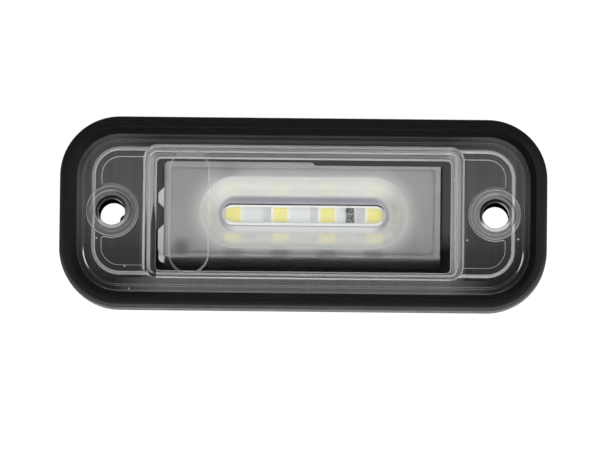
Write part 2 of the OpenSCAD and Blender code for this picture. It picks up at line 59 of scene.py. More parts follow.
# The camera stands in front of the lens, a little below its middle and a touch to its right, far enough off
# that the lamp shows almost no perspective. It is rolled slightly, as the lamp lies slightly askew.
photo_width = 600
photo_height = 449
pixels_per_mm = 5.137
camera_distance = 1.5
camera_pitch = math.radians(4.5)
camera_yaw = math.radians(0.8)
camera_roll = math.radians(0.65)
lamp_centre_px = (303.2, 213.4)
front_z = solid_box[1][2]

towards_camera = Vector((math.sin(camera_yaw), -math.sin(camera_pitch), math.cos(camera_pitch))).normalized()
to_right = Vector((0, 1, 0)).cross(towards_camera).normalized()
to_top = towards_camera.cross(to_right)
roll = Matrix.Rotation(camera_roll, 3, towards_camera)
to_right, to_top = roll @ to_right, roll @ to_top

mm_per_pixel = mm / pixels_per_mm
aim = Vector((0, 0, front_z))
aim -= to_right * (lamp_centre_px[0] - photo_width / 2) * mm_per_pixel
aim += to_top * (lamp_centre_px[1] - photo_height / 2) * mm_per_pixel

camera_data = bpy.data.cameras.new("camera")
camera_data.sensor_width = 36
camera_data.lens = camera_data.sensor_width * camera_distance / (photo_width * mm_per_pixel)
camera_data.clip_start = 0.05
camera = bpy.data.objects.new("camera", camera_data)
turned = Matrix((to_right, to_top, towards_camera)).transposed().to_4x4()
camera.matrix_world = Matrix.Translation(aim + towards_camera * camera_distance) @ turned
bpy.context.scene.collection.objects.link(camera)
bpy.context.scene.camera = camera
bpy.context.scene.view_settings.view_transform = "Standard"


# The floor is a pale sheet that shows white, with the lamp's soft shadow on it. It shows the same to mirrors
# and through the lens as to the camera, and it throws little light back onto the lamp.
def add(tree, kind, links=None, **settings):
    """A new node with its properties and its inputs set, each input from a value or from another output."""
    made = tree.nodes.new(kind)
    for name, value in settings.items():
        setattr(made, name, value)
    for name, value in (links or {}).items():
        if isinstance(value, bpy.types.NodeSocket):
            tree.links.new(value, made.inputs[name])
        else:
            made.inputs[name].default_value = value
    return made


def maths(operation, *values):
    """The result of one Math node, in the tree that its wired values belong to."""
    tree = next(value.id_data for value in values if isinstance(value, bpy.types.NodeSocket))
    return add(tree, "ShaderNodeMath", dict(enumerate(values)), operation=operation).outputs[0]


def times(first, *others):
    """The values multiplied."""
    for other in others:
        first = maths("MULTIPLY", first, other)
    return first


def most(first, *others):
    """The largest of the values."""
    for other in others:
        first = maths("MAXIMUM", first, other)
    return first


def as_colour(colour):
    """A bare number as a grey, three numbers as a colour, and a wired colour as it is."""
    if isinstance(colour, bpy.types.NodeSocket):
        return colour
    return (*colour, 1) if isinstance(colour, (tuple, list)) else (colour, colour, colour, 1)


def dull(tree, colour):
    """A shader with no gloss at all."""
    return add(tree, "ShaderNodeBsdfDiffuse", {"Color": as_colour(colour)}).outputs[0]


def new_material(name):
    """A material and its tree, which is still empty."""
    made = bpy.data.materials.new(name)
    made.use_nodes = True
    made.node_tree.nodes.clear()
    return made, made.node_tree


def cover(tree, shader):
    """Ends a material's tree with the shader of its surface."""
    add(tree, "ShaderNodeOutputMaterial", {"Surface": shader})


floor_half = 3.0
floor_drop = 0.1 * mm
floor_glow = 0.94
floor_tone = 0.14
floor_corners = [(sx * floor_half, sy * floor_half, 0) for sx, sy in ((-1, -1), (1, -1), (1, 1), (-1, 1))]
floor_mesh = bpy.data.meshes.new("floor")
floor_mesh.from_pydata(floor_corners, [], [(0, 1, 2, 3)])
floor = bpy.data.objects.new("floor", floor_mesh)
floor.location.z = -floor_drop
bpy.context.scene.collection.objects.link(floor)
pale_sheet, tree = new_material("pale_sheet")
path = add(tree, "ShaderNodeLightPath").outputs
seen_directly = most(path["Is Camera Ray"], path["Is Glossy Ray"], path["Is Transmission Ray"])
glow = add(tree, "ShaderNodeEmission", {"Strength": times(seen_directly, floor_glow)}).outputs[0]
cover(tree, add(tree, "ShaderNodeAddShader", {0: dull(tree, floor_tone), 1: glow}).outputs[0])
floor_mesh.materials.append(pale_sheet)


# The light is a bright tent with an opening overhead, where the camera looks in, so flat black faces stay
# black. The tent is a little brighter on the side of the lamp's lower edge, and two soft lamps add to it.
def parts_of(vector):
    """The x, y and z of a wired vector."""
    split = add(vector.id_data, "ShaderNodeSeparateXYZ", {0: vector})
    return [split.outputs[axis] for axis in "XYZ"]


opening_cos = math.cos(math.radians(36))
opening_inner_cos = math.cos(math.radians(20))
tent_strength = 1.0
opening_strength = 0.04
side_lift = -0.12
world = bpy.data.worlds.new("tent")
world.use_nodes = True
bpy.context.scene.world = world
tree = world.node_tree
tree.nodes.clear()
direction = parts_of(add(tree, "ShaderNodeTexCoord").outputs["Generated"])
tent = add(tree, "ShaderNodeMapRange", {
    "Value": direction[2], "From Min": opening_cos, "From Max": opening_inner_cos,
    "To Min": tent_strength, "To Max": opening_strength,
}, interpolation_type="SMOOTHSTEP").outputs[0]
lit = times(tent, maths("MULTIPLY_ADD", direction[1], side_lift, 1.0))
background = add(tree, "ShaderNodeBackground", {"Color": (1, 1, 1, 1), "Strength": lit})
add(tree, "ShaderNodeOutputWorld", {"Surface": background.outputs[0]})


def soft_lamp(name, place, size, power):
    """A square soft lamp that points at the middle of the lamp on the floor."""
    data = bpy.data.lights.new(name, "AREA")
    data.size = size
    data.energy = power
    made = bpy.data.objects.new(name, data)
    made.location = place
    made.rotation_euler = (Vector(place) - Vector((0, 0, front_z))).to_track_quat("Z", "Y").to_euler()
    bpy.context.scene.collection.objects.link(made)


soft_lamp("top_side_lamp", (-0.1, 0.75, 0.75), 0.5, 2.5)
soft_lamp("low_side_lamp", (0.2, -0.8, 0.6), 0.5, 6.0)


# The housing is one black glass-filled moulding: flange, stepped box, screw tubes, ribs and plug socket. Its
# skin is finely eroded. In the tubes it is darker and quite dull, which is painted shade. Where the lens
# lies on the flange, a painted sheen seen through the lens makes it greyer: brightest along the lower strip,
# paler at the upper ends than at the lower ones, with fine lines along it.
def plus(first, *others):
    """The sum of the values."""
    for other in others:
        first = maths("ADD", first, other)
    return first


def minus(first, second):
    """The first value less the second."""
    return maths("SUBTRACT", first, second)


def rest(share):
    """What is left of 1."""
    return minus(1.0, share)


def size_of(value):
    """The value without its sign."""
    return maths("ABSOLUTE", value)


def span(x, y):
    """The length of the diagonal over x and y."""
    return maths("SQRT", plus(times(x, x), times(y, y)))


def above(value, limit):
    """1 where the value is above the limit, else 0."""
    return maths("GREATER_THAN", value, limit)


def below(value, limit):
    """1 where the value is below the limit, else 0."""
    return maths("LESS_THAN", value, limit)


def between(value, low, high, to_low=0.0, to_high=1.0):
    """Maps a value from one range to another, held at both ends."""
    return add(value.id_data, "ShaderNodeMapRange", {
        "Value": value, "From Min": low, "From Max": high, "To Min": to_low, "To Max": to_high,
    }).outputs[0]


def either(share, first, second):
    """The first value where the share is 0, and the second where it is 1."""
    return between(share, 0.0, 1.0, first, second)


def tint(share, first, second):
    """A colour between two colours."""
    ends = {0: share, 6: as_colour(first), 7: as_colour(second)}
    return add(share.id_data, "ShaderNodeMix", ends, data_type="RGBA").outputs[2]


def object_place(tree):
    """The object coordinates of the surface."""
    return add(tree, "ShaderNodeTexCoord").outputs["Object"]


def noise(place, per_metre, detail=2.0, stretch=(1, 1, 1)):
    """Noise with that many cells in a metre, stretched along the axes."""
    scaled = add(place.id_data, "ShaderNodeMapping", {"Vector": place, "Scale": stretch}).outputs[0]
    return add(place.id_data, "ShaderNodeTexNoise",
               {"Vector": scaled, "Scale": per_metre, "Detail": detail}).outputs["Fac"]


def wandering(grain, low, high):
    """A value that goes from low to high with the noise."""
    return between(grain, 0.3, 0.7, low, high)


def raised(height, depth):
    """A bump normal from a height between 0 and 1 and its depth in metres."""
    return add(height.id_data, "ShaderNodeBump", {"Height": height, "Distance": depth}).outputs[0]


def principled(tree, sockets):
    """The general shader with these sockets set."""
    return add(tree, "ShaderNodeBsdfPrincipled", sockets).outputs[0]


def mixed(share, first, second):
    """Two shaders in one."""
    return add(first.id_data, "ShaderNodeMixShader", {0: share, 1: first, 2: second}).outputs[0]


def dress(node, made):
    """Gives a solid its material."""
    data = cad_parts[node].data
    data.materials.clear()
    data.materials.append(made)


plate_z = 21 * mm
lens_middle = 0.4 * mm
frame_half_y = 13 * mm
screw_x = 37.5 * mm
tube_r = 2.7 * mm
moulding_black = (0.012, 0.012, 0.013)
# Painted sheen, seen through the lens: the greys of the flange at its ends and along its strips.
end_sheen_greys = (0.085, 0.185)
strip_sheen_greys = (0.6, 0.07)
# Painted shade: the tubes are darker and dull.
tube_shade_black = 0.004
black_moulding, tree = new_material("black_moulding")
place = object_place(tree)
x, y, z = parts_of(place)
on_flange = above(z, plate_z - 0.05 * mm)
beside_frame = below(size_of(minus(y, lens_middle)), frame_half_y)
at_end = most(between(size_of(x), 28 * mm, 37 * mm),
              times(between(size_of(x), 29 * mm, 32 * mm), beside_frame))
end_sheen = times(between(y, -7 * mm, 3 * mm, *end_sheen_greys), between(size_of(x), 41 * mm, 42 * mm, 1.0, 0.72))
strip_sheen = between(y, -2 * mm, 2 * mm, *strip_sheen_greys)
drawn_lines = wandering(noise(place, 2200, 1.0, (1, 0.03, 1)), 0.93, 1.07)
flange_sheen = times(either(at_end, strip_sheen, end_sheen), drawn_lines)
eroded_black = principled(tree, {
    "Base Color": tint(on_flange, moulding_black, tint(flange_sheen, 0, 1)),
    "Roughness": wandering(noise(place, 260), 0.45, 0.55),
    "Normal": raised(noise(place, 3500, 3.0), 0.03 * mm),
})
in_tube = below(span(minus(size_of(x), screw_x), minus(y, lens_middle)), tube_r)
cover(tree, mixed(in_tube, eroded_black, dull(tree, tube_shade_black)))
dress("housing", black_moulding)


# Round marks of the ejector pins stand on the underside of the step, between the ribs. They are the same
# moulding, barely raised.
def nodes_piece(name, inputs, build, dressed_in):
    """A piece made by a Geometry Nodes group with these named inputs, which ends realised and dressed."""
    group = bpy.data.node_groups.new(name, "GeometryNodeTree")
    for label, value in inputs.items():
        kind = "NodeSocketInt" if isinstance(value, int) else "NodeSocketFloat"
        group.interface.new_socket(name=label, in_out="INPUT", socket_type=kind).default_value = value
    group.interface.new_socket(name="Geometry", in_out="OUTPUT", socket_type="NodeSocketGeometry")
    given = group.nodes.new("NodeGroupInput").outputs
    whole = add(group, "GeometryNodeRealizeInstances", {0: build(group, given)})
    finished = add(group, "GeometryNodeSetMaterial", {0: whole.outputs[0], "Material": dressed_in})
    add(group, "NodeGroupOutput", {0: finished.outputs[0]})
    source = bpy.data.objects.new(name + "_source", bpy.data.meshes.new(name + "_source"))
    bpy.context.scene.collection.objects.link(source)
    source.modifiers.new(name, "NODES").node_group = group
    made = source.evaluated_get(bpy.context.evaluated_depsgraph_get())
    piece = bpy.data.objects.new(name, bpy.data.meshes.new_from_object(made))
    bpy.data.objects.remove(source)
    bpy.context.scene.collection.objects.link(piece)
    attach(piece, "root")


def point(group, **axes):
    """A vector with the named axes set and the others 0."""
    return add(group, "ShaderNodeCombineXYZ", axes).outputs[0]


def row_of(group, start, pitch, count):
    """Points in a row along x."""
    return add(group, "GeometryNodeMeshLine", {
        "Count": count, "Start Location": start, "Offset": point(group, X=pitch),
    }).outputs[0]


def copies(group, points, shape, scale=(1, 1, 1)):
    """A copy of the shape on each of the points."""
    return add(group, "GeometryNodeInstanceOnPoints",
               {"Points": points, "Instance": shape, "Scale": scale}).outputs[0]


def moved(group, shape, by):
    """The shape, moved."""
    return add(group, "GeometryNodeTransform", {0: shape, "Translation": by}).outputs[0]


def joined(group, shapes):
    """The shapes as one."""
    made = add(group, "GeometryNodeJoinGeometry")
    for shape in shapes:
        group.links.new(shape, made.inputs[0])
    return made.outputs[0]


def ejector_marks(group, given):
    """Two rows of flat round marks."""
    row = row_of(group, point(group, X=given["First x"]), given["Pitch"], given["Marks in a row"])
    mark = add(group, "GeometryNodeMeshCylinder", {
        "Vertices": given["Mark sides"], "Radius": given["Mark radius"], "Depth": given["Mark height"],
    })
    marks = copies(group, row, mark.outputs[0])
    return joined(group, [moved(group, marks, point(group, Y=given[label], Z=given["Level"]))
                          for label in ("Upper row y", "Lower row y")])


nodes_piece("housing_ejector_marks", {
    "First x": -16.5 * mm, "Pitch": 11 * mm, "Marks in a row": 4, "Mark sides": 32, "Mark radius": 1.3 * mm,
    "Mark height": 0.1 * mm, "Upper row y": 12.95 * mm, "Lower row y": -12.15 * mm, "Level": 9.5 * mm,
}, ejector_marks, black_moulding)


# A small lug of the same moulding sticks out into the left screw tube. It holds the screw until it is fitted.
# It is a low hump along a part of the wall.
def closed_piece(name, corners, faces, dressed_in):
    """A closed piece from corners and faces, with its doubles merged and its faces turned outwards."""
    shell = bmesh.new()
    points = [shell.verts.new(corner) for corner in corners]
    for face in faces:
        shell.faces.new([points[i] for i in face])
    bmesh.ops.remove_doubles(shell, verts=shell.verts, dist=0.001 * mm)
    bmesh.ops.recalc_face_normals(shell, faces=shell.faces)
    data = bpy.data.meshes.new(name)
    shell.to_mesh(data)
    shell.free()
    data.materials.append(dressed_in)
    piece = bpy.data.objects.new(name, data)
    bpy.context.scene.collection.objects.link(piece)
    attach(piece, "root")


lug_radius = 2.65 * mm
lug_reach = 0.65 * mm
lug_low, lug_high = 16.9 * mm, 18.1 * mm
lug_start, lug_sweep = math.radians(-55), math.radians(50)
lug_steps = 10
lug_corners = []
for i in range(lug_steps + 1):
    angle = lug_start + lug_sweep * i / lug_steps
    inner = lug_radius - lug_reach * math.sin(math.pi * i / lug_steps)
    for radius in (lug_radius, inner):
        for level in (lug_low, lug_high):
            corner = (-screw_x + radius * math.cos(angle), lens_middle + radius * math.sin(angle), level)
            lug_corners.append(corner)
lug_faces = []
for i in range(lug_steps):
    here, there = 4 * i, 4 * i + 4
    lug_faces += [(here, there, there + 1, here + 1), (here + 2, here + 3, there + 3, there + 2),
                  (here + 1, there + 1, there + 3, here + 3), (here, here + 2, there + 2, there)]
closed_piece("housing_lug", lug_corners, lug_faces, black_moulding)

# Two tinned brass blades stand in the plug socket. They are stamped, pushed through its ceiling and soldered
# to the board, so only their plain faces and a little drawn grain along them show.
tin_tones = ((0.62, 0.6, 0.55), (0.72, 0.7, 0.64))
tinned_blade, tree = new_material("tinned_blade")
place = object_place(tree)
drawn_grain = noise(place, 2500, 2.0, (1, 1, 0.05))
cover(tree, principled(tree, {
    "Base Color": tint(noise(place, 400), *tin_tones),
    "Metallic": 1.0,
    "Roughness": wandering(drawn_grain, 0.28, 0.4),
    "Normal": raised(drawn_grain, 0.01 * mm),
}))
for node in ("supply_blade", "ground_blade"):
    dress(node, tinned_blade)


# The vent film is a thin white breathing membrane, welded into a shallow seat in the back, over a small hole.
# It is matt, with a fine fibrous grain.
def finish_of(name, tone, roughness, grain_per_metre, grain_depth, more=None):
    """A moulded plastic or rubber: its tone and gloss drift a little, and its skin has a fine grain."""
    tone_drift = 0.12
    gloss_drift = 0.1 * roughness
    made, tree = new_material(name)
    place = object_place(tree)
    darker = [part * (1 - tone_drift) for part in tone]
    lighter = [part * (1 + tone_drift) for part in tone]
    cover(tree, principled(tree, {
        "Base Color": tint(noise(place, 90), darker, lighter),
        "Roughness": wandering(noise(place, 260), roughness - gloss_drift, roughness + gloss_drift),
        "Normal": raised(noise(place, grain_per_metre, 3.0), grain_depth),
        **(more or {}),
    }))
    return made


dress("vent_membrane", finish_of("vent_film", (0.72, 0.72, 0.7), 0.8, 9000, 0.02 * mm))

# The chips: dull black cases, tan ceramic blocks and dark resistors with a speckled glaze. They are soldered
# on by machine and are sealed in.
chip_case = finish_of("chip_case", (0.02, 0.02, 0.02), 0.45, 12000, 0.01 * mm)
for node in ("driver_chip", "polarity_diode", "surge_diode"):
    dress(node, chip_case)
tan_ceramic = finish_of("tan_ceramic", (0.3, 0.19, 0.1), 0.4, 12000, 0.01 * mm)
for node in ("input_capacitor", "output_capacitor"):
    dress(node, tan_ceramic)
glaze_tones = ((0.14, 0.14, 0.135), (0.46, 0.46, 0.44))
dark_glaze, tree = new_material("dark_glaze")
speckled = between(noise(object_place(tree), 2600, 1.0), 0.42, 0.58)
cover(tree, principled(tree, {
    "Base Color": tint(speckled, *glaze_tones),
    "Roughness": 0.3,
    "Normal": raised(speckled, 0.01 * mm),
}))
for node in ("bias_resistor", "ballast_resistor", "row_resistor"):
    dress(node, dark_glaze)

# The board is glass fibre under a white solder mask, with bare tinned pads beside the diodes, grainy with
# solder. Board, solder and diodes have a faint painted glow, which stands in for the light that the milky
# reflector lets through to them.
painted_slot_glow = 0.14
board_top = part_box("circuit_board")[1].z
mask_whites = ((0.9, 0.92, 0.92), (0.94, 0.96, 0.96))
pad_tones = ((0.66, 0.65, 0.7), (0.8, 0.79, 0.83))
white_mask, tree = new_material("white_mask")
place = object_place(tree)
is_pad = above(parts_of(place)[2], board_top - 0.04 * mm)
cover(tree, principled(tree, {
    "Base Color": tint(is_pad, tint(noise(place, 500), *mask_whites), tint(noise(place, 1500), *pad_tones)),
    "Roughness": 0.4,
    "Emission Color": (1, 1, 1, 1),
    "Emission Strength": painted_slot_glow,
    "Normal": raised(noise(place, 3000), 0.01 * mm),
}))
dress("circuit_board", white_mask)
solder = finish_of("solder", (0.7, 0.69, 0.73), 0.3, 9000, 0.01 * mm, {
    "Metallic": 0.5, "Emission Color": (1, 1, 1, 1), "Emission Strength": painted_slot_glow,
})
led_boxes = [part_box("led_%d" % number) for number in (1, 2, 3, 4)]
led_pitch = (led_boxes[3][0].x - led_boxes[0][0].x) / 3
light_y = (led_boxes[0][0].y + led_boxes[0][1].y) / 2


def solder_grains(group, given):
    """Flat grains of solder, strewn over a pad, on each of the pads in a row."""
    cells = add(group, "GeometryNodeMeshGrid", {
        "Size X": given["Pad width"], "Size Y": given["Pad height"],
        "Vertices X": given["Grains across"], "Vertices Y": given["Grains along"],
    })
    stray = add(group, "FunctionNodeRandomValue", {"Seed": given["Seed"]}, data_type="FLOAT_VECTOR")
    for socket, reach in zip(stray.inputs, (times(given["Stray"], -1.0), given["Stray"])):
        group.links.new(point(group, X=reach, Y=reach), socket)
    strewn = add(group, "GeometryNodeSetPosition", {0: cells.outputs[0], "Offset": stray.outputs[0]})
    ball = add(group, "GeometryNodeMeshUVSphere", {
        "Segments": given["Grain segments"], "Rings": given["Grain rings"], "Radius": given["Grain radius"],
    })
    flatness = point(group, X=1.0, Y=1.0, Z=given["Grain flatness"])
    flat = add(group, "GeometryNodeTransform", {0: ball.outputs[0], "Scale": flatness})
    size = add(group, "FunctionNodeRandomValue", {
        2: given["Smallest grain"], 3: given["Largest grain"], "Seed": given["Seed"],
    }, data_type="FLOAT")
    grains = copies(group, strewn.outputs[0], flat.outputs[0], size.outputs[1])
    start = point(group, X=given["First x"], Y=given["Row y"], Z=given["Level"])
    return copies(group, row_of(group, start, given["Pitch"], given["Pads"]), grains)


nodes_piece("board_solder_grains", {
    "First x": led_boxes[1][0].x - 0.85 * mm, "Row y": light_y, "Level": board_top, "Pitch": led_pitch,
    "Pads": 3, "Pad width": 1.2 * mm, "Pad height": 2.9 * mm, "Grains across": 6, "Grains along": 12,
    "Stray": 0.08 * mm, "Grain segments": 8, "Grain rings": 6, "Grain radius": 0.13 * mm,
    "Grain flatness": 0.4, "Smallest grain": 0.5, "Largest grain": 1.2, "Seed": 7,
}, solder_grains, solder)

# Each diode is a white moulded cup around a pool of yellow silicone, which is a little blotchy. In the first
# and last diode the silicone has run over the outer rim of the cup.
cup_white = (0.93, 0.93, 0.9)
run_over_yellow = (0.9, 0.84, 0.33)
pool_yellows = ((0.87, 0.85, 0.3), (0.94, 0.82, 0.38))
# The colour of the yellow pool's faint painted glow.
painted_pool_glow = (0.9, 0.82, 0.35, 1)
white_cup, tree = new_material("white_cup")
place = object_place(tree)
run_over = above(size_of(parts_of(place)[0]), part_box("phosphor_4")[1].x)
cup_colour = tint(run_over, cup_white, run_over_yellow)
cover(tree, principled(tree, {
    "Base Color": cup_colour,
    "Roughness": 0.35,
    "Emission Color": cup_colour,
    "Emission Strength": painted_slot_glow,
    "Normal": raised(noise(place, 8000), 0.01 * mm),
}))
yellow_pool, tree = new_material("yellow_pool")
place = object_place(tree)
cover(tree, principled(tree, {
    "Base Color": tint(noise(place, 700), *pool_yellows),
    "Roughness": 0.3,
    "Emission Color": painted_pool_glow,
    "Emission Strength": painted_slot_glow,
    "Normal": raised(noise(place, 1200), 0.03 * mm),
}))
for number in (1, 2, 3, 4):
    dress("led_%d" % number, white_cup)
    dress("phosphor_%d" % number, yellow_pool)

# The reflector is one pale moulding: a grey satin face, a milky bowl and a floor round the slot, with a
# painted lilac-grey reflection on the floor. Painted yellow reflections of the diodes lie on the bowl's
# slopes above and below each of them.
face_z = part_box("reflector")[1].z
face_foot_y = -8.08 * mm
face_left_x = -27.32 * mm
slot_r = 1.5 * mm
slot_half = (led_boxes[3][1].x - led_boxes[0][0].x) / 2 - 0.1 * mm
slot_straight = slot_half - slot_r
foot_r = 3.5 * mm
rim_r = 7.1 * mm
bowl_straight = slot_half + 1.25 * mm - foot_r
face_greys = (0.17, (0.28, 0.28, 0.275))
# Painted glow, painted shade and painted dark reflections on the face:
painted_glow_grey = (0.41, 0.41, 0.4)
foot_shade_grey = 0.17
diode_shade = 0.08
dark_reflection_grey = 0.1
dark_reflections = ((-23.7 * mm, -6.4 * mm, 2.3 * mm, 0.8), (-14.5 * mm, 8.3 * mm, 3 * mm, 0.3))
milk_tones = ((0.44, 0.44, 0.425), (0.66, 0.66, 0.63))
# Painted reflections of the diodes on the bowl:
reflected_yellows = ((0.76, 0.72, 0.52), (0.9, 0.84, 0.5))
mottle_grey = (0.42, 0.42, 0.41)
# Painted light on the floor round the slot: a lilac reflection, a lit lower side and shade above.
reflected_lilacs = ((0.38, 0.37, 0.42), (0.46, 0.45, 0.5))
lit_floor_white = 0.86
floor_shade = (0.2, 0.2, 0.22)
# Painted highlight on the slot's rim and painted shade lines beside it:
rim_highlights = ((0.93, 0.93, 0.92), (0.6, 0.59, 0.6))
lower_shade_grey = 0.2
lip_shadow_grey = 0.35
upper_shade_black = (0.02, 0.02, 0.025)
face_edge_black = 0.02
tab_grey = (0.47, 0.47, 0.465)
# Painted light on the skirt:
lit_skirt_greys = (0.45, 0.6)


def stadium_distance(x, y, half_length):
    """How far a place is from the straight middle line of a stadium."""
    return span(most(minus(size_of(x), half_length), 0.0), minus(y, light_y))


def line_at(distance, at, outer, inner):
    """1 on a line at that distance, which fades from its inner to its outer half width."""
    return between(size_of(minus(distance, at)), outer, inner)


pale_moulding, tree = new_material("pale_moulding")
place = object_place(tree)
x, y, z = parts_of(place)
away = stadium_distance(x, y, bowl_straight)
from_slot = minus(stadium_distance(x, y, slot_straight), slot_r)

# The face is cloudy. It has a painted glow round the bowl, painted shade along its foot and below each
# diode, and painted dark reflections in two patches.
clouded = plus(maths("MULTIPLY_ADD", y, 6.0, 0.4), noise(place, 120, 3.0))
face = tint(clouded, *face_greys)
face = tint(maths("POWER", between(away, 10.5 * mm, rim_r), 1.8), face, painted_glow_grey)
face = tint(between(y, -6 * mm, -7.2 * mm, 0.0, 0.2), face, foot_shade_grey)
wave = maths("COSINE", times(x, 2 * math.pi / led_pitch))
under_led_shade = times(between(wave, 0.2, -0.8), between(y, -6.1 * mm, -6.9 * mm, 0.0, 0.42),
                  between(size_of(x), 18 * mm, 15 * mm))
face = tint(under_led_shade, face, diode_shade)
for reflection_x, reflection_y, reach, share in dark_reflections:
    from_reflection = span(minus(x, reflection_x), minus(y, reflection_y))
    face = tint(between(from_reflection, reach, 0.2 * reach, 0.0, share), face, dark_reflection_grey)

# The bowl's slope is milky and mottled, with painted yellow reflections of the diodes on it, stronger
# below the slot.
milk = tint(between(away, rim_r, rim_r - 1.8 * mm), *milk_tones)
from_leds = size_of(minus(y, light_y))
on_slopes = times(between(from_leds, 3.5 * mm, 4.0 * mm), between(from_leds, 6.6 * mm, 4.9 * mm))
below_slot = between(y, light_y + 1 * mm, light_y - 1 * mm)
diode_reflection = times(between(wave, -0.2, -0.7), on_slopes, either(below_slot, 0.4, 0.62),
               between(away, rim_r - 0.1 * mm, rim_r - 1.2 * mm))
milk = tint(diode_reflection, milk, tint(below_slot, *reflected_yellows))
mottled = between(noise(place, 420, 4.0), 0.42, 0.66, 0.0, 0.2)
milk = tint(mottled, milk, mottle_grey)

# The floor round the slot has a painted lilac-grey reflection above, is painted pale below where it faces
# the light, and has painted shade beside the slot's upper side.
along_slot = between(size_of(x), slot_straight + 1.8 * mm, slot_straight - 0.6 * mm)
lit_lower_floor = times(along_slot, between(y, light_y + 1.6 * mm, light_y - 1.2 * mm))
bowl_floor = tint(noise(place, 300), *reflected_lilacs)
bowl_floor = tint(lit_lower_floor, bowl_floor, lit_floor_white)
upper_shade = times(between(from_slot, 0.8 * mm, 1.1 * mm), between(from_slot, 2.0 * mm, 1.6 * mm),
                    along_slot, between(y, light_y + 1 * mm, light_y + 1.8 * mm, 0.0, 0.45))
bowl_floor = tint(upper_shade, bowl_floor, floor_shade)
in_bowl = between(away, rim_r + 0.05 * mm, rim_r - 0.05 * mm)
in_floor = between(away, foot_r + 0.25 * mm, foot_r - 0.25 * mm)
colour = tint(in_floor, tint(in_bowl, face, milk), bowl_floor)

# The slot's rim has a painted highlight, with thin lines of painted shade along its lower side and a line of
# painted shade over its upper side.
round_end = between(size_of(x), slot_straight + 1.1 * mm, slot_straight + 1.5 * mm)
colour = tint(between(from_slot, 0.65 * mm, 0.55 * mm), colour, tint(round_end, *rim_highlights))
lower_shade_line = times(line_at(from_slot, 0.78 * mm, 0.16 * mm, 0.06 * mm), lit_lower_floor, 0.65)
colour = tint(lower_shade_line, colour, lower_shade_grey)
lip_shadow = times(line_at(from_slot, 0.04 * mm, 0.12 * mm, 0.05 * mm), lit_lower_floor, 0.7)
colour = tint(lip_shadow, colour, lip_shadow_grey)
upper_shade_line = times(line_at(from_slot, 0.45 * mm, 0.2 * mm, 0.1 * mm),
                   between(y, light_y + 0.8 * mm, light_y + 1.6 * mm))
colour = tint(upper_shade_line, colour, upper_shade_black)

# The tabs at the left are paler than the face, whose left edge is dark. The skirt below the foot is paler
# too, which is painted light.
face_edge = times(below(x, face_left_x + 0.4 * mm), 0.4)
colour = tint(face_edge, colour, face_edge_black)
colour = tint(below(x, face_left_x), colour, tab_grey)
skirt = times(below(y, face_foot_y), below(z, face_z - 0.02 * mm))
colour = tint(skirt, colour, tint(between(x, -15 * mm, -23 * mm), *lit_skirt_greys))
cover(tree, principled(tree, {
    "Base Color": colour,
    "Roughness": wandering(noise(place, 300), 0.32, 0.45),
    "Normal": raised(noise(place, 900), 0.02 * mm),
}))
dress("reflector", pale_moulding)

# A web of the same moulding joins the lower left tab to the skirt, a little below the face. It is a flat
# plate with a rounded outer corner.
web_top_y, web_low_y = -6.6 * mm, -9.5 * mm
web_left_x, web_right_x = -28.25 * mm, -27.05 * mm
web_r = 1.1 * mm
web_low_z, web_high_z = face_z - 1.1 * mm, face_z - 0.35 * mm
web_steps = 8
web_outline = [(web_left_x, web_top_y)]
for i in range(web_steps + 1):
    angle = math.pi + math.pi / 2 * i / web_steps
    corner = (web_left_x + web_r + web_r * math.cos(angle), web_low_y + web_r + web_r * math.sin(angle))
    web_outline.append(corner)
web_outline.append((web_right_x, web_top_y))
count = len(web_outline)
web_corners = [(px, py, level) for level in (web_low_z, web_high_z) for px, py in web_outline]
web_faces = [range(count), range(count, 2 * count)]
web_faces += [(i, (i + 1) % count, count + (i + 1) % count, count + i) for i in range(count)]
closed_piece("reflector_web", web_corners, web_faces, pale_moulding)


# The lens is one clear acrylic moulding. Its flat faces are polished, its steep faces and edges carry a
# painted highlight as a white haze, and the foot of its window frame is frosted where it is welded into the
# housing.
def rim_distance(x, y, half_width, half_height, radius):
    """How far a place lies outside a rounded rectangle about the origin; less than zero inside it."""
    past_x = minus(size_of(x), half_width - radius)
    past_y = minus(size_of(y), half_height - radius)
    outside = span(most(past_x, 0.0), most(past_y, 0.0))
    inside = maths("MINIMUM", most(past_x, past_y), 0.0)
    return minus(plus(outside, inside), radius)


def thin_line(distance, at, half_width):
    """1 on a line at that distance, falling to 0 beside it."""
    return line_at(distance, at, 1.4 * half_width, 0.6 * half_width)


plate_rim = (45 * mm, 16.2 * mm, 9.2 * mm)
frame_rim = (31.3 * mm, frame_half_y, 2.7 * mm)
window_rim = (28.8 * mm, 11.1 * mm, 1 * mm)
window_middle = -0.2 * mm
field_rim = (3.9 * mm, 12.2 * mm, 3.9 * mm)
field_x = -22.1 * mm
front_of_frame = 23.5 * mm
boss_r = 4.9 * mm
counterbore_edge = 4.1 * mm
seat_ring = 2.95 * mm
bore_r = 2.6 * mm
left, right = -30 * mm, 30 * mm
acrylic_tone = (0.97, 0.98, 0.98, 1)
shadow_tone = (0.95, 0.96, 0.96, 1)
# The white of the painted highlight on the lens's edges:
highlight_haze_tone = (0.8, 0.82, 0.82)
eroded_tone = (0.36, 0.37, 0.37)
# Painted shade: the black that stands in for the tube seen through each screw seat.
painted_tube_black = 0.006
frame_lines = ((-0.45 * mm, 0.07 * mm), (-1.4 * mm, 0.1 * mm), (-2.0 * mm, 0.05 * mm))
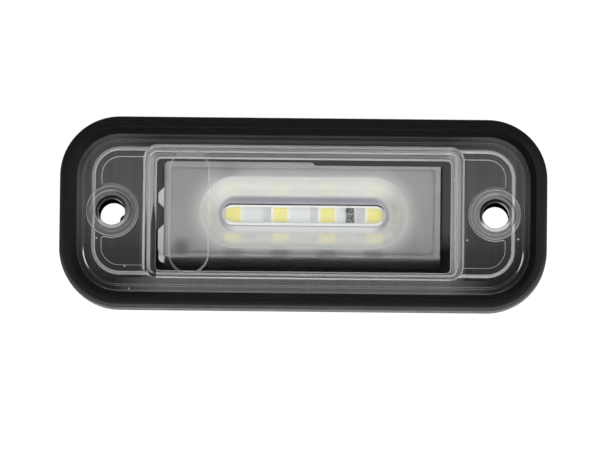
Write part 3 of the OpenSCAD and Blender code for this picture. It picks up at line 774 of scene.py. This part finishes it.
# Painted black wedges, the black housing seen through the lens:
refracted_wedges = ((-29.3 * mm, 0.65 * mm), (-30.75 * mm, 0.16 * mm))
clear_moulding, tree = new_material("clear_moulding")
place = object_place(tree)
x, y, z = parts_of(place)
across = minus(y, lens_middle)
above_plate = above(z, plate_z + 0.1 * mm)
from_plate = rim_distance(x, y, *plate_rim)
from_frame = rim_distance(x, across, *frame_rim)
in_frame = below(from_frame, 0.01 * mm)
on_bars = above(rim_distance(x, minus(y, window_middle), *window_rim), -0.01 * mm)
on_field = above(z, front_of_frame + 0.02 * mm)
screw_off_x = times(maths("SIGN", x), minus(size_of(x), screw_x))
from_screw = span(screw_off_x, across)
clear = principled(tree, {
    "Base Color": acrylic_tone, "Roughness": 0.015, "IOR": 1.49, "Transmission Weight": 1.0,
    "Normal": raised(noise(place, 120), 0.005 * mm),
})

# Steep faces and sharp edges carry a painted highlight as a white haze. Less of it is kept on the
# outer rim, on the upper side of each screw seat, on the rings round it, beside the painted black wedges
# and round the raised field.
facing = add(tree, "ShaderNodeNewGeometry").outputs["True Normal"]
steep = between(size_of(parts_of(facing)[2]), 0.95, 0.5, 0.0, 0.5)
rounded = add(tree, "ShaderNodeBevel", {"Radius": 0.16 * mm}, samples=6).outputs[0]
turn = add(tree, "ShaderNodeVectorMath", {0: rounded, 1: facing}, operation="DOT_PRODUCT").outputs["Value"]
sharp = between(turn, 0.995, 0.85, 0.0, 0.5)
on_rim = above(from_plate, -2.7 * mm)
in_seat = between(from_screw, 3.9 * mm, 3.5 * mm)
on_counterbore = thin_line(from_screw, counterbore_edge, 0.2 * mm)
on_boss_rim = thin_line(from_screw, boss_r, 0.25 * mm)
beside_wedge = times(thin_line(x, -28.85 * mm, 0.4 * mm), between(y, 2.5 * mm, -1 * mm))
kept = times(
    either(on_rim, 1.0, between(y, -14.5 * mm, -13.5 * mm, 0.8, 0.22)),
    either(in_seat, 1.0, between(across, 1.6 * mm, -1.6 * mm, 0.1, 1.3)),
    rest(times(on_counterbore, 0.75)),
    rest(times(on_boss_rim, between(across, -2 * mm, 2 * mm, 0.2, 0.6))),
    rest(times(beside_wedge, 0.8)),
    rest(times(on_field, 0.65)),
    above(from_screw, bore_r + 0.02 * mm),
)
edge_highlights = times(most(steep, sharp), kept)

# The plate carries a painted highlight along its fine ridge, a painted glint at each lower corner and a few
# specks. A painted lit crescent lies in the lower side of each screw seat, the bosses are slightly hazy, and
# a veil lies inside the window.
ridge_highlight = times(thin_line(rim_distance(x, across, *plate_rim), -4.05 * mm, 0.24 * mm),
              between(x, left, right, 0.22, 0.36))
glint = times(thin_line(from_plate, -2.1 * mm, 0.1 * mm), thin_line(y, -8.9 * mm, 1.6 * mm))
specks = add(tree, "ShaderNodeTexVoronoi", {"Vector": place, "Scale": 330}).outputs
chance = add(tree, "ShaderNodeSeparateColor", {0: specks["Color"]}).outputs[0]
speck = times(below(specks["Distance"], 0.06), above(chance, 0.5), 0.45)
on_plate = times(most(ridge_highlight, glint, speck), above_plate, rest(in_frame))
crescent = times(thin_line(from_screw, seat_ring, 0.26 * mm), between(across, -0.9 * mm, -1.9 * mm),
                 between(x, left, right, 0.6, 1.0))
in_boss = times(below(from_screw, boss_r), above_plate, between(x, left, right, 0.115, 0.18))
left_veil = times(between(x, -27.2 * mm, -27.6 * mm), between(y, -3.6 * mm, -2.8 * mm))
right_veil = times(between(x, 26.8 * mm, 27.3 * mm), between(y, -7 * mm, -3 * mm))
upper_veil = between(y, 9.0 * mm, 9.4 * mm)
veil = times(most(left_veil, right_veil, upper_veil), 0.05, above_plate, rest(on_bars))
highlight_share = plus(most(edge_highlights, on_plate, crescent), in_boss, veil)
polished = mixed(highlight_share, clear, dull(tree, highlight_haze_tone))

# The long field on the left is finely eroded. Painted black stands in for the dark tube seen through the
# upper side of each screw seat, and the field is darker over the bars.
from_field = rim_distance(minus(x, field_x), across, *field_rim)
eroded = times(between(from_field, 0.0, -0.2 * mm), above(z, front_of_frame - 0.03 * mm), 0.25)
polished = mixed(eroded, polished, dull(tree, eroded_tone))
dark_ring = most(thin_line(from_screw, seat_ring, 0.2 * mm), below(from_screw, bore_r + 0.01 * mm))
near_wall_shade = times(dark_ring, between(minus(across, screw_off_x), 0.0, 2.4 * mm, 0.0, 0.9))
far_wall_shade = times(thin_line(from_screw, 3.85 * mm, 0.16 * mm),
                 between(plus(screw_off_x, times(across, 0.4)), 1.5 * mm, 3.2 * mm, 0.0, 0.6))
painted_dark = most(near_wall_shade, far_wall_shade, times(on_field, on_bars, 0.35))
polished = mixed(painted_dark, polished, dull(tree, painted_tube_black))

# The frosted foot of the frame has streaks and lines round it. Painted reflections make its lower long bar
# brighter than its upper one and its right bar darker than its left. Below the middle of the left bar, thin
# painted black wedges stand for the black housing seen through the lens.
round_frame = point(tree, X=from_frame, Y=times(x, 0.015), Z=times(y, 0.015))
streaks = between(noise(round_frame, 1100, 2.0), 0.35, 0.65, 0.38, 0.55)
side_bar = above(size_of(x), window_rim[0])
# Painted reflections on the bars:
long_bar_reflection = between(y, -10 * mm, 10 * mm, 1.14, 0.89)
side_bar_reflection = between(x, -29 * mm, 29 * mm, 0.84, 0.71)
frost_and_reflection_tone = times(either(side_bar, long_bar_reflection, side_bar_reflection), streaks)
for at, half_width in frame_lines:
    frost_and_reflection_tone = times(frost_and_reflection_tone, rest(times(thin_line(from_frame, at, half_width), 0.5)))
for at, widest in refracted_wedges:
    wedge = below(size_of(minus(x, at)), between(y, 2.5 * mm, -3 * mm, 0.0, widest))
    frost_and_reflection_tone = times(frost_and_reflection_tone, rest(times(wedge, 0.9)))
frosted = times(in_frame, on_bars, below(z, plate_z + 0.01 * mm))
body = mixed(frosted, polished, principled(tree, {"Base Color": tint(frost_and_reflection_tone, 0, 1), "Roughness": 0.6}))

# Light that falls on the pieces inside passes straight through the polished part.
passing = add(tree, "ShaderNodeBsdfTransparent", {"Color": shadow_tone}).outputs[0]
is_shadow = add(tree, "ShaderNodeLightPath").outputs["Is Shadow Ray"]
cover(tree, mixed(times(is_shadow, rest(frosted)), body, passing))
dress("lens", clear_moulding)

# The surround is a black rubber frame that is stretched over the edge of lens and housing and seals the lamp
# to the bodywork. It is dull. Its front has the painted shading of a slight crown, palest where it would
# face downward and at the right end. Its lower outer edge has a painted highlight, and its shaded slopes
# and its upper outer edge take a darker, duller copy of the rubber as painted shade.
surround_low, surround_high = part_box("surround")
surround_r = 11.7 * mm
front_half = 1.05 * mm
rubber_black = (0.0045, 0.0045, 0.0047)
shade_black = (0.003, 0.003, 0.003, 1)
edge_highlight_grey = 0.045
black_rubber, tree = new_material("black_rubber")
place = object_place(tree)
x, y = parts_of(place)[:2]
facing_x, facing_y = parts_of(add(tree, "ShaderNodeNewGeometry").outputs["True Normal"])[:2]
inward = rim_distance(x, y, surround_high.x, surround_high.y, surround_r)
on_slope = below(inward, -2.12 * mm)
painted_crown = times(plus(inward, front_half), -1 / front_half, y, 1 / surround_high.y)
# Painted light: the front is palest where it would face downward, and at the right end.
crown_painted_light = plus(between(y, -surround_high.y, surround_high.y, 0.027, 0.004),
                 between(x, 42 * mm, surround_high.x, 0.0, 0.013))
painted_crown_tone = tint(between(painted_crown, -0.9, 0.9, 0.001, crown_painted_light), 0, 1)
# Painted highlight on the lower outer edge:
lower_edge_highlight = times(between(facing_y, -0.03, -0.2), above(inward, -0.7 * mm))
painted_crown_tone = tint(lower_edge_highlight, painted_crown_tone, edge_highlight_grey)
skin = {
    "Roughness": wandering(noise(place, 260), 0.4, 0.5),
    "Normal": raised(noise(place, 5000, 3.0), 0.02 * mm),
}
lit_rubber = principled(tree, {
    "Base Color": tint(times(noise(place, 90), 0.3), painted_crown_tone, rubber_black),
    "Specular IOR Level": 0.13, **skin,
})
# Painted shade: a darker, duller copy of the rubber.
shaded_rubber = principled(tree, {"Base Color": shade_black, "Specular IOR Level": 0.06, **skin})
shaded_slope = times(on_slope, between(minus(times(facing_x, -1.0), facing_y), -0.3, 0.3))
upper_edge_shade = times(between(facing_y, 0.02, 0.35), rest(on_slope))
cover(tree, mixed(most(shaded_slope, upper_edge_shade), lit_rubber, shaded_rubber))
dress("surround", black_rubber)


# Two fine lines run round the front of the surround, where the parts of the mould met. They are slightly
# raised beads of the same rubber.
def bead_round(group, given, inset, level, radius):
    """A round bead that follows the surround's outline at one inset and level."""
    both_insets = times(inset, 2.0)
    outline = add(group, "GeometryNodeCurvePrimitiveQuadrilateral", {
        "Width": minus(given["Width"], both_insets), "Height": minus(given["Height"], both_insets),
    })
    round_it = add(group, "GeometryNodeFilletCurve", {
        "Curve": outline.outputs[0], "Count": given["Corner steps"],
        "Radius": minus(given["Corner radius"], inset),
    }, mode="POLY")
    section = add(group, "GeometryNodeCurvePrimitiveCircle",
                  {"Resolution": given["Bead sides"], "Radius": radius})
    swept = add(group, "GeometryNodeCurveToMesh", {0: round_it.outputs[0], 1: section.outputs[0]})
    return moved(group, swept.outputs[0], point(group, Z=level))


def front_lines(group, given):
    """Both fine lines on the front of the surround."""
    return joined(group, [bead_round(group, given, given[label], given["Level"], given["Line radius"])
                          for label in ("Outer inset", "Inner inset")])


surround_outline = {
    "Width": surround_high.x - surround_low.x, "Height": surround_high.y - surround_low.y,
    "Corner radius": surround_r, "Corner steps": 24, "Bead sides": 10,
}
nodes_piece("surround_front_lines", {
    **surround_outline, "Outer inset": 1.0 * mm, "Inner inset": 2.05 * mm, "Level": front_z - 0.02 * mm,
    "Line radius": 0.09 * mm,
}, front_lines, black_rubber)

# A round bead of the same rubber stands in the groove of the seating face and is pressed flat on the
# bodywork. It is moulded on, and runs all the way round.
seat_z = 18 * mm


def seat_bead(group, given):
    """The bead in the groove of the seating face."""
    return bead_round(group, given, given["Inset"], given["Level"], given["Bead radius"])


nodes_piece("surround_seat_bead", {
    **surround_outline, "Inset": 1.85 * mm, "Level": seat_z + 0.15 * mm, "Bead radius": 0.36 * mm,
}, seat_bead, black_rubber)
